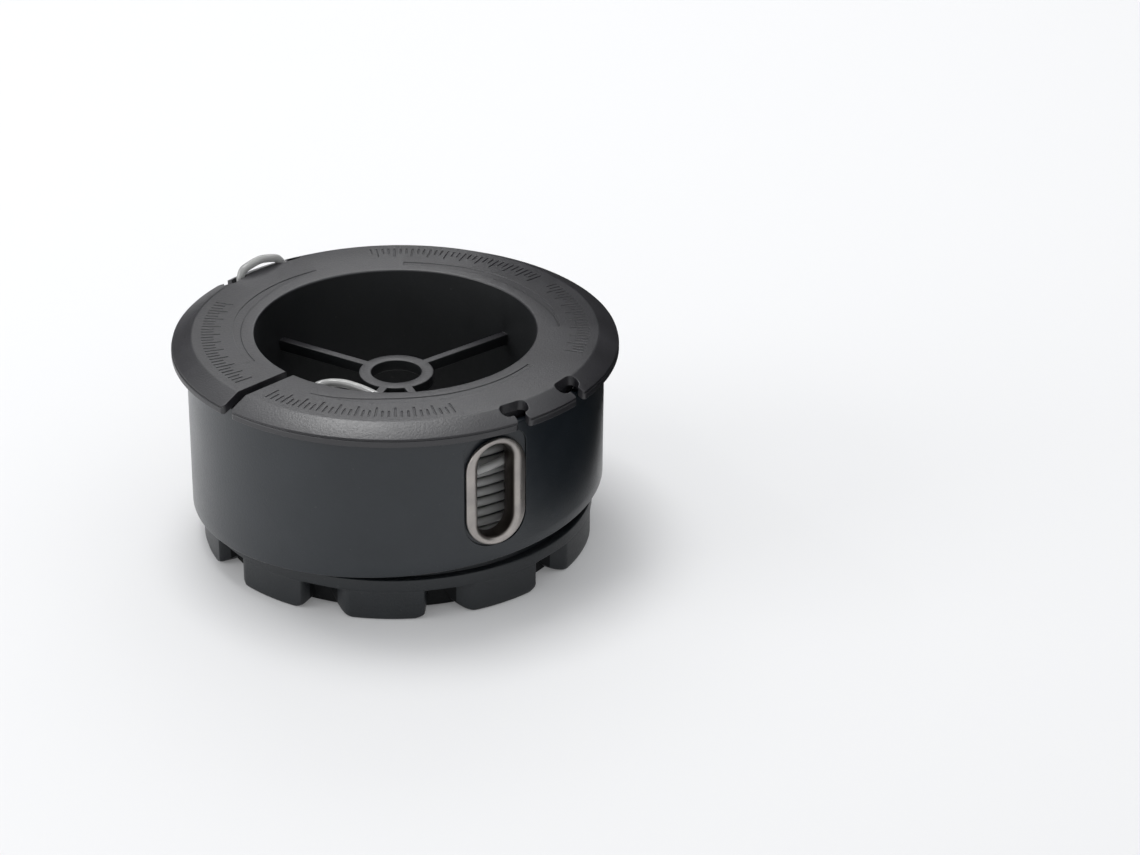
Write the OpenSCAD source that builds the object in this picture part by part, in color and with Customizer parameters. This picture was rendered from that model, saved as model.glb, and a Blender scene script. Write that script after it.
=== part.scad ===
// Trimmer line reel: a toothed spool with its line wound on and parked, inside a turning guard
// that carries the line's metal eyelet.
// Millimetres. Origin at the centre of the plane that the teeth stand on, +Z along the reel's axis.
// Azimuths are in degrees, counter-clockwise from +X, seen from above.

/* [Reel] */
// Height over all, from the teeth to the flange's face
reel_h = 42.3; // [41:0.1:46]
// Radius of the bore
bore_r = 27; // [26:0.1:27.2]
// Wall of the hub tube
hub_wall = 1.8; // [1.5:0.1:2]
// Width of the chamfer at the bore's mouth
mouth_chamfer = 0.4; // [0.2:0.1:0.8]
// Height of the hub's lower edge above the foot plane
hub_foot = 1; // [0.5:0.1:2]

/* [Top flange] */
// Outer radius of the top flange
flange_r = 42.8; // [42:0.1:45]
// Thickness of the top flange
flange_t = 2; // [1.6:0.1:2.2]
// Width of the flange's bevel
bevel_w = 3.9; // [3:0.1:4.5]
// Height that the bevel drops
bevel_drop = 1.9; // [1.4:0.1:2.2]
// Height of the rib under the flange that keeps the guard round
lip_h = 1.8; // [1.6:0.1:1.9]
// Thickness of that rib
lip_t = 1.2; // [0.8:0.1:1.3]
// Width of the slot that the line is threaded through
slot_w = 2.1; // [1.9:0.1:3]
// Azimuth of that slot
slot_az = 226.5; // [220:0.5:232]

/* [Parking notches] */
// Azimuth midway between a pair's two notches
notch_az = 136.3; // [134:0.1:138]
// Angle between the two notches of a pair
notch_spread = 20; // [19:0.5:21]
// Radius that the holes' centres lie on
notch_r = 39.7; // [39.5:0.1:40]
// Width of a notch's hole
notch_w = 2.9; // [2.6:0.1:3]
// Length of a notch's hole round the flange
notch_l = 5.9; // [5:0.1:6.2]
// Length of that hole past its throat's middle
notch_past = 2.7; // [2:0.1:2.9]
// Width of the throat that opens the hole to the rim
throat_w = 2.4; // [1.9:0.1:2.6]
// Rounding of the throat's corners at the rim
throat_round = 0.8; // [0.4:0.1:1]

/* [Spider] */
// Depth of the spider's face below the flange's face
spider_depth = 9.15; // [8:0.05:12]
// Thickness of the spider
spider_t = 2.2; // [1.5:0.1:4]
// Outer radius of the spider's ring
spider_r = 7.2; // [6.5:0.1:8]
// Radius of the spider's bore
arbor_r = 4.85; // [4:0.05:5.5]
// Thickness of the spider's ribs
rib_t = 1.6; // [0.8:0.1:2]

/* [Toothed base] */
// Thickness of the lower flange
base_flange_t = 1; // [0.9:0.1:1.6]
// Step in from the band to the lower flange's edge
base_inset = 0.5; // [0.3:0.1:0.7]
// Outer radius of the skirt's band
skirt_r = 38; // [37.6:0.1:38.2]
// Height of the skirt's band
skirt_h = 2.5; // [2:0.1:3]
// Depth that the wall between the teeth lies back from the band
skirt_step = 3.6; // [1.6:0.1:4]
// Thickness of the skirt's wall
skirt_wall = 1.5; // [1.2:0.1:2]
// Height that the skirt's wall ends above the foot plane
skirt_foot = 0.8; // [0.5:0.1:1.5]
// Number of teeth
teeth = 10; // [8:1:12]
// Height of a tooth
tooth_h = 6; // [5:0.1:7]
// Width of a tooth
tooth_w = 17.4; // [14:0.1:18]
// Rounding of a tooth's lower corners
tooth_round = 3.5; // [1.5:0.1:3.9]
// Inset of the teeth's faces from the band
tooth_inset = 0; // [0:0.05:0.3]
// Azimuth of the first tooth's middle
tooth_az = 268; // [260:1:276]
// Wall of the collar that sits on the hub's spigot
collar_wall = 1.6; // [1.2:0.1:2.2]
// Number of stiffening webs under the base
webs = 4; // [4:1:6]
// Thickness of the base's stiffening webs
web_t = 1; // [0.8:0.1:1.6]

/* [Guard] */
// Outer radius of the guard
guard_r = 40; // [39.8:0.1:40.2]
// Wall of the guard
guard_wall = 1.5; // [1.4:0.1:1.6]
// Height of the guard above the middle of its lower edge
guard_h = 29; // [28.7:0.1:29.1]
// Height of that edge's middle above the lower flange
guard_rise = 0.5; // [0.3:0.1:0.6]
// Slant of the guard's lower edge, in degrees
guard_slant = 3.5; // [0:0.1:3.8]
// Azimuth where that edge is highest
slant_az = 355; // [345:1:365]
// Azimuth of the window's middle, with the guard at rest
window_az = 120.3; // [119:0.1:122]
// Angle that the window is open
window_angle = 99; // [96:1:102]

/* [Eyelet] */
// Width of the eyelet's face
eyelet_w = 12.4; // [11.6:0.1:13]
// Height of the eyelet's face
eyelet_h = 21.9; // [21:0.1:23]
// Width of the eyelet's opening
opening_w = 7.5; // [6.8:0.1:7.6]
// Height of the eyelet's opening
opening_h = 19.1; // [18.4:0.1:19.2]
// Thickness of the eyelet's metal
metal_t = 0.8; // [0.6:0.05:0.9]
// Depth of the eyelet's middle below the flange's face
eyelet_depth = 16.5; // [16.2:0.1:18]
// Depth that the eyelet's face is let into the guard
eyelet_sink = 0.4; // [0.3:0.05:0.5]
// Width that the clinched edge spreads behind the guard
clinch_w = 0.7; // [0.3:0.05:0.9]

/* [Line] */
// Diameter of the line
line_d = 1.65; // [1.5:0.05:1.65]
// Least gap between neighbouring turns
line_gap = 0.43; // [0.42:0.01:0.5]
// Layers of line under the outer one
inner_layers = 2; // [2:1:2]
// Diameter of the line's holes in the hub
line_hole_d = 2.6; // [2.3:0.1:3]
// Diameter of the collars round those holes
hole_collar_d = 5; // [4.4:0.1:6]
// Depth of the line's holes below the flange's face
line_hole_depth = 4.8; // [4.5:0.1:5.5]

/* [Clearances] */
// Running gap between the guard and the rib
run_gap = 0.4; // [0.3:0.05:0.5]
// Gap between fixed pieces that are pushed together
fit_gap = 0.05; // [0.03:0.01:0.1]
// Margin round the eyelet's face in its pocket
pocket_gap = 0.35; // [0.2:0.05:0.5]

/* [Hidden] */
$fn = 96;

// How far a joined solid runs into its neighbour, and a cut past what it cuts.
eps = 0.01;
over = 1;
rib_azimuths = [40.5, 149, 252.5, 291.5];
hole_azimuths = [232, 275];
collar_h = 0.8;
spigot_step = 0.6;
collar_foot = 2;
web_foot = 3;
core_top_gap = 1;
ring_step = 16;
tube_sides = 6;
bend_steps = 2;

hub_r = bore_r + hub_wall;
spigot_r = hub_r - spigot_step;
web_face_z = reel_h - flange_t;
spider_top = reel_h - spider_depth;
line_hole_z = reel_h - line_hole_depth;

base_top = tooth_h + skirt_h + base_flange_t;
skirt_wall_r = skirt_r - skirt_step;
collar_r = spigot_r + fit_gap + collar_wall;

guard_in = guard_r - guard_wall;
base_flange_r = skirt_r - base_inset;
guard_foot = base_top + guard_rise;
guard_drop = guard_r * tan(guard_slant);
lip_r = guard_in - run_gap;
lip_in = lip_r - lip_t;

eyelet_az = window_az + 180;
eyelet_z = reel_h - eyelet_depth;
barrel_w = opening_w + 2 * metal_t;
barrel_h = opening_h + 2 * metal_t;

core_in = hub_r + fit_gap;
core_out = core_in + inner_layers * line_d;
wind_gap = 0.2;
wind_r = core_out + wind_gap + line_d / 2;
ring_r = wind_r / cos(ring_step / 4);
wind_foot = base_top + wind_gap + line_d / 2;
wind_top_depth = 6.1;
wind_top = reel_h - wind_top_depth;
wind_start_az = 178;
wind_end_az = 73;
wind_part = (wind_start_az - wind_end_az) / 360;
wind_loops = floor((wind_top - wind_foot) / (line_d + line_gap) - wind_part);
wind_pitch = (wind_top - wind_foot) / (wind_loops + wind_part);

// The line's route before the outer layer: [azimuth, radius, height over the lower flange].
// It leaves the inner layers square, and turns clockwise behind the guard.
entry = [[196, core_out, 0.9], [196, 34, 0.9], [195.6, 34.7, 0.9], [194.7, 35.2, 0.9],
         [193.2, 35.4, 0.9], [188, 35, 0.95], [182.5, 33.85, 1]];

// The line's route after the outer layer: [azimuth, radius, depth below the flange's face].
// It sinks behind the guard, climbs to one notch, lies over the bevel to the next, and its
// free end hangs down over the turns.
parked = [[445, 33.3, 6.2], [433, 33.3, 6.1], [420, 33.6, 5.7], [405, 34.6, 5.6],
          [388, 35.5, 6.1], [368, 35.6, 7.4], [342, 35.6, 9.8], [315, 35.6, 12.3],
          [287, 35.6, 14.9], [259, 35.6, 17.4], [235, 35.6, 19.5],
          [219, 35.6, 20.5], [210, 35.6, 20], [199, 35.6, 18.2], [185, 35.6, 14.2],
          [170, 35.6, 9.7], [156, 35.7, 5.8], [151, 36.2, 5.1], [147, 37.6, 4.9],
          [144.6, 38.8, 4.2], [143.7, 39.5, 3], [143.5, 39.65, 1.7], [143.4, 39.65, 0.5],
          [142.4, 39.6, -0.8], [139.6, 39.45, -1.35], [136, 39.3, -1.7], [132.3, 39.2, -1.3],
          [129.7, 39.35, -0.6], [128, 39.5, 0.7], [126.6, 39.6, 2], [126, 39.5, 3.3],
          [125, 38.9, 4.5], [123.4, 37.9, 5.9], [120.5, 36.8, 7.6], [116, 35.9, 10.1],
          [109, 35.6, 13.9], [102, 35.6, 17.7], [99.6, 35.6, 19]];

// The line's route inside the bore, from hole to hole: [azimuth, share of the bore's radius,
// share of the holes' depth]. Its ends run into the holes as far as the hub's outside.
anchored = [[275, 0.95, 1], [272.5, 0.89, 0.94], [267, 0.83, 0.81], [257, 0.765, 0.67],
            [246, 0.74, 0.61], [238, 0.765, 0.63], [234, 0.84, 0.65], [232.5, 0.895, 0.81],
            [232, 0.95, 1]];

function around(az, r, z) = [r * cos(az), r * sin(az), z];
function unit(v) = v / norm(v);

// The part of v that is square to the unit vector along, as a unit vector.
function across(v, along) = unit(v - (v * along) * along);

// A smooth curve through the points: a Catmull-Rom spline, with steps pieces to each stretch.
function spline(a, b, c, d, t) =
    b + t / 2 * ((c - a) + t * ((2 * a - 5 * b + 4 * c - d) + t * (3 * b - 3 * c + d - a)));
function smooth(p, steps) = concat(
    [for (i = [0 : len(p) - 2]) for (s = [0 : steps - 1])
        spline(p[max(i - 1, 0)], p[i], p[i + 1], p[min(i + 2, len(p) - 1)], s / steps)],
    [p[len(p) - 1]]);

// The unit direction of the route at each point.
function headings(p) =
    [for (i = [0 : len(p) - 1]) unit(p[min(i + 1, len(p) - 1)] - p[max(i - 1, 0)])];

// A side direction at each point: upright as long as that holds, then carried along untwisted.
function sides(t, upright) =
    [for (i = 0, m = across([0, 0, 1], t[0]); i < len(t);
          i = i + 1, m = i < len(t) ? across(i < upright ? [0, 0, 1] : m, t[i]) : m) m];

// Distance from a point to the segment from a to b.
function to_segment(p, a, b) =
    let (ab = b - a, t = max(0, min(1, (p - a) * ab / (ab * ab)))) norm(p - a - t * ab);

// Length of the route up to each point.
function lengths(p) =
    [for (i = 0, s = 0; i < len(p);
          i = i + 1, s = i < len(p) ? s + norm(p[i] - p[i - 1]) : s) s];

// Least gap between a tube's stretches that are more than apart from each other along it.
function least_gap(p, s, d, apart) =
    min([for (i = [0 : len(p) - 2]) for (j = [0 : len(p) - 2])
        if (s[j] - s[i] > apart || s[i] - s[j + 1] > apart) to_segment(p[i], p[j], p[j + 1])]) - d;

helix = [for (az = [0 : ring_step : 360 * (wind_loops + wind_part) - ring_step])
    around(wind_start_az - az, ring_r, wind_foot + az / 360 * wind_pitch)];
entry_path = [for (p = entry) around(p[0], p[1], base_top + p[2])];
parked_smooth = smooth(parked, bend_steps);
parked_path = [for (i = [bend_steps : len(parked_smooth) - 1])
    let (p = parked_smooth[i]) around(p[0], p[1], reel_h - p[2])];
winding_path = concat(entry_path, helix, parked_path);
anchored_points = concat(
    [[hole_azimuths[1], hub_r, line_hole_depth]],
    [for (p = anchored) [p[0], p[1] * bore_r, p[2] * line_hole_depth]],
    [[hole_azimuths[0], hub_r, line_hole_depth]]);
anchor_path = [for (p = smooth(anchored_points, 2)) around(p[0], p[1], reel_h - p[2])];

// A tube along the points, whose rings stand upright for the first upright points.
module tube(p, d, upright) {
    n = len(p);
    k = tube_sides;
    t = headings(p);
    m = sides(t, upright);
    rings = [for (i = [0 : n - 1]) for (j = [0 : k - 1])
        p[i] + d / 2 * (cos(360 * j / k) * m[i] + sin(360 * j / k) * cross(t[i], m[i]))];
    skin = [for (i = [0 : n - 2]) for (j = [0 : k - 1])
        let (a = i * k + j, b = i * k + (j + 1) % k)
        each [[a, a + k, b], [b, a + k, b + k]]];
    foot = [for (j = [1 : k - 2]) [0, j, j + 1]];
    head = [for (j = [1 : k - 2]) [(n - 1) * k, (n - 1) * k + j + 1, (n - 1) * k + j]];
    polyhedron(points = rings, faces = concat(skin, foot, head));
}

// A full ring of rectangular section.
module band(r_in, r_out, z_low, z_high) {
    rotate_extrude()
        translate([r_in, z_low])
        square([r_out - r_in, z_high - z_low]);
}

// Turns a flat shape to face outwards at an azimuth and height, and draws it out from the axis.
module outward(az, z, reach) {
    rotate([0, 0, az])
        translate([0, 0, z])
        rotate([90, 0, 90])
        linear_extrude(reach)
        children();
}

module stadium(w, h) {
    square([w, h - w], center = true);
    for (s = [-1, 1])
        translate([0, s * (h - w) / 2])
            circle(d = w);
}

// Fills the two square corners where a throat meets the rim, less their rounding.
module throat_mouth() {
    difference() {
        translate([flange_r - throat_round, -throat_w / 2 - throat_round])
            square([2 * throat_round, throat_w + 2 * throat_round]);
        for (s = [-1, 1])
            translate([flange_r - throat_round, s * (throat_w / 2 + throat_round)])
                circle(r = throat_round);
    }
}

// One parking notch, cut down through the flange: a hole that runs mostly clockwise from its
// throat, and the throat out to the rim.
module notch(az) {
    past_turn = (notch_past - notch_w / 2) / notch_r * 180 / PI;
    hole_turn = (notch_l - notch_w) / notch_r * 180 / PI;
    translate([0, 0, web_face_z - lip_h - bevel_drop])
        linear_extrude(flange_t + lip_h + bevel_drop + over) {
            for (turn = [0, -hole_turn])
                rotate(az + past_turn + turn)
                    translate([notch_r, 0])
                    circle(d = notch_w);
            rotate(az + past_turn - hole_turn / 2)
                translate([notch_r, 0])
                square([notch_w, notch_l - notch_w], center = true);
            rotate(az) {
                translate([notch_r, -throat_w / 2])
                    square([flange_r - notch_r + over, throat_w]);
                throat_mouth();
            }
        }
}

module reel_body() {
    color("dimgray")
        difference() {
            union() {
                rotate_extrude()
                    polygon([[bore_r, hub_foot], [spigot_r, hub_foot], [spigot_r, base_top],
                             [hub_r, base_top], [hub_r, web_face_z], [lip_in, web_face_z],
                             [lip_in, web_face_z - lip_h], [lip_r, web_face_z - lip_h],
                             [lip_r, web_face_z], [flange_r - bevel_w, web_face_z],
                             [flange_r, web_face_z - bevel_drop], [flange_r, reel_h - bevel_drop],
                             [flange_r - bevel_w, reel_h], [bore_r + mouth_chamfer, reel_h],
                             [bore_r, reel_h - mouth_chamfer]]);
                spider();
                for (az = hole_azimuths)
                    intersection() {
                        band(bore_r - collar_h, bore_r + hub_wall / 2, spider_top, reel_h);
                        outward(az, line_hole_z, hub_r)
                            circle(d = hole_collar_d);
                    }
            }
            for (az = hole_azimuths)
                outward(az, line_hole_z, hub_r + over)
                    circle(d = line_hole_d);
            rotate([0, 0, slot_az])
                translate([bore_r - over, -slot_w / 2, web_face_z - lip_h - eps])
                cube([flange_r - bore_r + 2 * over, slot_w, flange_t + lip_h + over]);
            for (side = [0, 180], s = [-1, 1])
                notch(notch_az + side + s * notch_spread / 2);
        }
}

// The ring and thin ribs inside the hub that the trimmer's shaft passes through.
module spider() {
    band(arbor_r, spider_r, spider_top - spider_t, spider_top);
    for (az = rib_azimuths)
        rotate([0, 0, az])
            translate([(arbor_r + spider_r) / 2, -rib_t / 2, spider_top - spider_t])
            cube([bore_r + hub_wall / 2 - (arbor_r + spider_r) / 2, rib_t, spider_t]);
}

// A tooth's outline, standing on its lower edge.
module tooth_face() {
    translate([-tooth_w / 2, tooth_round])
        square([tooth_w, tooth_h - tooth_round + eps]);
    translate([-tooth_w / 2 + tooth_round, 0])
        square([tooth_w - 2 * tooth_round, tooth_round + eps]);
    for (s = [-1, 1])
        translate([s * (tooth_w / 2 - tooth_round), tooth_round])
            circle(r = tooth_round);
}

module toothed_base() {
    ring_foot = base_top - base_flange_t - skirt_h;
    color("#2b2b2b") {
        band(spigot_r + fit_gap, base_flange_r, base_top - base_flange_t, base_top);
        band(skirt_wall_r - skirt_wall, skirt_r, ring_foot, base_top - base_flange_t + eps);
        band(skirt_wall_r - skirt_wall, skirt_wall_r, skirt_foot, ring_foot + eps);
        band(spigot_r + fit_gap, collar_r, collar_foot, base_top - base_flange_t + eps);
        for (i = [0 : teeth - 1])
            intersection() {
                band(skirt_wall_r - eps, skirt_r - tooth_inset, 0, tooth_h + eps);
                outward(tooth_az + i * 360 / teeth, 0, skirt_r + over)
                    tooth_face();
            }
        for (i = [0 : webs - 1])
            rotate([0, 0, tooth_az + (i + 0.5) * 360 / webs])
                translate([collar_r - eps, -web_t / 2, web_foot])
                cube([skirt_wall_r - skirt_wall - collar_r + skirt_wall / 2, web_t,
                      base_top - base_flange_t - web_foot + eps]);
    }
}

// All that lies under the guard's slanted lower edge.
module below_slant() {
    reach = guard_r + over;
    rotate([0, 0, slant_az])
        translate([0, 0, guard_foot])
        rotate([0, -guard_slant, 0])
        translate([-reach - over, -reach, -2 * guard_drop - over])
        cube([2 * reach + 2 * over, 2 * reach, 2 * guard_drop + over]);
}

module line_guard() {
    color("#3c3c3c")
        difference() {
            rotate_extrude(angle = 360 - window_angle, start = window_az + window_angle / 2)
                translate([guard_in, guard_foot - guard_drop])
                square([guard_wall, guard_h + guard_drop]);
            below_slant();
            outward(eyelet_az, eyelet_z, guard_r + over)
                stadium(barrel_w + 2 * fit_gap, barrel_h + 2 * fit_gap);
            intersection() {
                band(guard_r - eyelet_sink, guard_r + over, guard_foot, guard_foot + guard_h);
                outward(eyelet_az, eyelet_z + pocket_gap, guard_r + over)
                    stadium(eyelet_w + 2 * pocket_gap, eyelet_h + 3 * pocket_gap);
            }
        }
}

module eyelet() {
    clinch_r = guard_in - fit_gap;
    face_r = guard_r + metal_t - eyelet_sink;
    color("tan")
        difference() {
            intersection() {
                union() {
                    outward(eyelet_az, eyelet_z, face_r + over)
                        stadium(barrel_w, barrel_h);
                    intersection() {
                        band(guard_r - eyelet_sink, face_r + over, guard_foot, reel_h);
                        outward(eyelet_az, eyelet_z, face_r + over)
                            stadium(eyelet_w, eyelet_h);
                    }
                    intersection() {
                        band(clinch_r - metal_t, clinch_r, guard_foot, reel_h);
                        outward(eyelet_az, eyelet_z, guard_in)
                            stadium(barrel_w + 2 * clinch_w, barrel_h + clinch_w);
                    }
                }
                band(clinch_r - metal_t, face_r, guard_foot, reel_h);
            }
            outward(eyelet_az, eyelet_z, face_r + over)
                stadium(opening_w, opening_h);
        }
}

// The inner layers of line, as one plain ring on the hub.
module line_core() {
    color("lightgray")
        band(core_in, core_out, base_top + fit_gap, web_face_z - core_top_gap);
}

// The outer layer of line and its parked end, as one unbroken tube.
module line_winding() {
    lengths_along = lengths(winding_path);
    echo(str("outer layer: ", wind_loops, " full loops, pitch ", wind_pitch, " mm"));
    echo(str("length of the modelled line: ", lengths_along[len(winding_path) - 1], " mm"));
    echo(str("least gap of the line to itself: ",
             least_gap(winding_path, lengths_along, line_d, 4 * line_d), " mm"));
    color("gainsboro")
        tube(winding_path, line_d, len(entry) + len(helix));
}

// The line's inner end, bowed from hole to hole inside the bore.
module line_anchor() {
    color("gainsboro")
        tube(anchor_path, line_d, 1);
}

reel_body();
toothed_base();
line_guard();
eyelet();
line_core();
line_winding();
line_anchor();
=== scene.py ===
"""The looks of a trimmer line reel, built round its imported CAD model.

Pieces are modelled in millimetres and azimuths in degrees, counter-clockwise from +X seen from
above. Each is scaled to metres when it is done. The stage is in metres, but the camera's place
is worked out in millimetres. The camera looks along +Y and down.
"""

import math

import bmesh
import bpy
from mathutils import Matrix, Vector, noise

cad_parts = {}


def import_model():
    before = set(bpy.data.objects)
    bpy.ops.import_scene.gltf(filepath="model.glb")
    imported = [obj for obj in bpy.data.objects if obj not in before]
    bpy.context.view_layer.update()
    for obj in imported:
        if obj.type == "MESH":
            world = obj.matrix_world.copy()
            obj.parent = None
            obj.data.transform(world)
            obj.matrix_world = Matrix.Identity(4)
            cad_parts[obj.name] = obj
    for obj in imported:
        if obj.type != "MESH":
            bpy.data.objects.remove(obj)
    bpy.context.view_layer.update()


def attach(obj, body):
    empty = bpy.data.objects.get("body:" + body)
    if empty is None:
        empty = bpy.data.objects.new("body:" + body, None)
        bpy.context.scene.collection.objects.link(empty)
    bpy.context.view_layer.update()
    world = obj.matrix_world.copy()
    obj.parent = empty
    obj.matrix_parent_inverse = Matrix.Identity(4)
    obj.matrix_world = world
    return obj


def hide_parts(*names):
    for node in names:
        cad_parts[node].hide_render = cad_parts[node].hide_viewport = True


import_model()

MM = 0.001

# Rounding of a moulding's ordinary edges
EDGE = 0.3
# How far a cut reaches past the face that it opens
PAST = 1.0

# Reel
REEL_H = 42.3
BORE_R = 27.0
HUB_R = 28.8
SPIGOT_R = 28.2
HUB_FOOT = 1.0
FLANGE_R = 42.8
FLANGE_T = 2.0
BEVEL_W = 3.9
BEVEL_DROP = 1.9
# The rib under the flange, which the guard turns on
LIP_R = 38.1
LIP_IN = 36.9
LIP_H = 1.8
# The anchor slot
SLOT_AZ = 226.5
SLOT_W = 2.1
SLOT_ROUND = 0.9
# The parking notches: one pair about this azimuth and one opposite, each pair this far apart
NOTCH_AZ = 136.3
NOTCH_SPREAD = 20.0
NOTCH_R = 39.7
NOTCH_W = 2.9
NOTCH_L = 5.9
# How far a notch's hole reaches past the middle of its throat, on its short side
NOTCH_PAST = 2.7
THROAT_W = 2.4
THROAT_ROUND = 0.8
# The spider: a ring on ribs inside the bore
SPIDER_TOP = REEL_H - 9.15
SPIDER_T = 2.2
SPIDER_R = 7.2
ARBOR_R = 4.85
RIB_T = 1.6
RIB_AZIMUTHS = (40.5, 149, 252.5, 291.5)
# The holes that the line's inner end goes through, and the collars round them
HOLE_AZIMUTHS = (232, 275)
HOLE_Z = REEL_H - 4.8
HOLE_D = 2.6
HOLE_COLLAR_D = 5.0
HOLE_COLLAR_H = 0.8
# The rim is thinner than the flange by this, and has a fine groove under its bevel
RIM_THINNER = 0.45
GROOVE_DEPTH = 0.3
GROOVE_TOP = 0.1
GROOVE_LOW = 0.35
GROOVE_FOOT = 0.45
# How far ribs and collars reach into the hub's wall, and ribs into the ring
INTO_HUB = 0.9
INTO_RING = 0.8

# Marks in the flange's face
MARK_DEPTH = 0.14
CRESCENT_AZIMUTHS = (3, 123, 243)
CRESCENT_SWEEP = 87.0
CRESCENT_OUT = 31.4
CRESCENT_IN = 31.3
CRESCENT_BEND = 0.7
CRESCENT_WIDTH = 1.8
SCALE_ARCS = ((42, 101), (163, 221), (233, 291), (345, 396))
SCALE_STEP = 1.9
SCALE_IN = 33.4
SCALE_OUT = 37.1
SCALE_SHORT = 2.4
SCALE_LINE = 0.3
SCALE_LONG_EVERY = 3

# Toothed base
BASE_TOP = 9.5
BASE_FLANGE_R = 36.4
BASE_FLANGE_T = 1.0
SKIRT_R = 38.0
SKIRT_WALL_R = 34.4
SKIRT_WALL = 1.5
SKIRT_FOOT = 0.8
TEETH = 10
TOOTH_PITCH = 360 / TEETH
TOOTH_H = 6.0
TOOTH_W = 17.4
TOOTH_R = 38.0
TOOTH_AZ = 268.0
# A tooth's steep flank, then its ramp: how wide it is, and the radius of its corner at the foot
TOOTH_EDGE = 1.5
TOOTH_ROUND = 3.5
TOOTH_RAMP = 6.0
TOOTH_LEAD = 6.6
# Between the teeth the skirt stands at least this far off its wall, so that faces keep a width
TOOTH_LEAST = 0.06
# The round at a tooth's foot, at most
FOOT_ROUND = 0.8
# The gap between pieces that sit tight on each other
FIT_GAP = 0.05
# The collar on the hub's spigot, and the webs from it to the skirt
COLLAR_IN = SPIGOT_R + FIT_GAP
COLLAR_R = 29.85
COLLAR_FOOT = 2.0
WEBS = 4
WEB_T = 1.0
WEB_FOOT = 3.0
# How far a web reaches into the walls at its ends, and into the flange above it
INTO_SKIRT = 0.6
INTO_FLANGE = 0.3

# Guard and eyelet
GUARD_R = 40.0
GUARD_WALL = 1.5
GUARD_FOOT = BASE_TOP + 0.5
GUARD_H = 29.0
GUARD_EDGE = 0.4
GUARD_SLANT = 3.5
SLANT_AZ = 355
WINDOW_AZ = 120.3
WINDOW_ANGLE = 99.0
EYELET_AZ = WINDOW_AZ + 180
EYELET_Z = REEL_H - 16.5
EYELET_W = 12.4
EYELET_H = 21.9
OPENING_W = 7.5
OPENING_H = 19.1
METAL_T = 0.8
EYELET_SINK = 0.4
# How much wider the guard's hole is than the eyelet's barrel
HOLE_GAP = 0.1
# The barrel's inner end, as a radius
BARREL_IN = 36.65
# The shallow pocket that the eyelet's face sits in: its gap at the sides, and its corners'
# roundings from the lower right one counter-clockwise, seen from outside
POCKET_GAP = 0.35
POCKET_ROUNDS = (5.6, 3.4, 2.4, 5.6)

# Line
LINE_D = 1.65
WIND_R = 33.2
WIND_FOOT = BASE_TOP + 1.025
WIND_TOP = REEL_H - 6.1
WIND_START_AZ = 178
WIND_END_AZ = 73
WIND_LOOPS = 12
# How far the outer turns lie off their radius, and the degrees in which their wander fades out
WIND_LIFT = 0.03
WIND_FADE = 60
# The outside of the inner layers
CORE_R = 32.2
# The layer that is seen between the outer turns: its turns, where it starts, and how far it lies
# inside that radius
INNER_LOOPS = 13
INNER_AZ = 150
INNER_SINK = 0.02
# A cut end's edge: how far in from the end, and how the radius differs there
CUT_EDGE = ((0, -0.12), (0.08, -0.03), (0.2, 0))

# The line's route before its outer layer: azimuth, radius, height over the lower flange.
ENTRY = [(196, CORE_R, 0.9), (196, 34, 0.9), (195.6, 34.7, 0.9), (194.7, 35.2, 0.9),
         (193.2, 35.4, 0.9), (188, 35, 0.95), (182.5, 33.85, 1)]

# The line's route after its outer layer: azimuth, radius, depth below the flange's face.
PARKED = [(433, 33.3, 6.1), (420, 33.6, 5.7), (405, 34.6, 5.6),
          (388, 35.5, 6.1), (368, 35.6, 7.4), (342, 35.6, 9.8), (315, 35.6, 12.3),
          (287, 35.6, 14.9), (259, 35.6, 17.4), (235, 35.6, 19.5),
          (219, 35.6, 20.5), (210, 35.6, 20), (199, 35.6, 18.2), (185, 35.6, 14.2),
          (170, 35.6, 9.7), (156, 35.7, 5.8), (151, 36.2, 5.1), (147, 37.6, 4.9),
          (144.6, 38.8, 4.2), (143.7, 39.5, 3), (143.5, 39.65, 1.7), (143.4, 39.65, 0.5),
          (142.4, 39.6, -0.8), (139.6, 39.45, -1.35), (136, 39.3, -1.7), (132.3, 39.2, -1.3),
          (129.7, 39.35, -0.6), (128, 39.5, 0.7), (126.6, 39.6, 2), (126, 39.5, 3.3),
          (125, 38.9, 4.5), (123.4, 37.9, 5.9), (120.5, 36.8, 7.6), (116, 35.9, 10.1),
          (109, 35.6, 13.9), (102, 35.6, 17.7), (99.6, 35.6, 19)]

# The line's route inside the bore, from hole to hole: azimuth, radius, depth.
ANCHORED = [(275, HUB_R, 4.8), (275, 25.65, 4.8), (272.5, 24.03, 4.51), (267, 22.41, 3.89),
            (257, 20.66, 3.22), (246, 19.98, 2.93), (238, 20.66, 3.02), (234, 22.68, 3.12),
            (232.5, 24.17, 3.89), (232, 25.65, 4.8), (232, HUB_R, 4.8)]

# The two tones that each surface clouds between
REEL_TONES = ((0.0112, 0.0108, 0.0132), (0.018, 0.0175, 0.0208))
# Painted shade: a darker tone for the bore's upright walls
BORE_SHADE_TONES = ((0.004, 0.0048, 0.0056), (0.006, 0.007, 0.008))
# Painted shade: a still darker tone for the recesses between the teeth
RECESS_SHADE_TONES = ((0.0025, 0.003, 0.0035), (0.004, 0.0045, 0.005))
BASE_TONES = ((0.006, 0.0082, 0.0105), (0.0105, 0.013, 0.0155))
GUARD_TONES = ((0.005, 0.0085, 0.0125), (0.0095, 0.0135, 0.018))
LINE_TONES = ((0.52, 0.52, 0.51), (0.41, 0.41, 0.405))
# Painted shade: a darker copy of the line's tones for the inner layers and core
INNER_LINE_SHADE_TONES = ((0.24, 0.25, 0.25), (0.16, 0.17, 0.175))
STEEL_TONES = ((0.4, 0.372, 0.35), (0.31, 0.292, 0.28))
FLOOR_TONES = ((0.745, 0.745, 0.755), (0.755, 0.755, 0.76))
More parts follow.
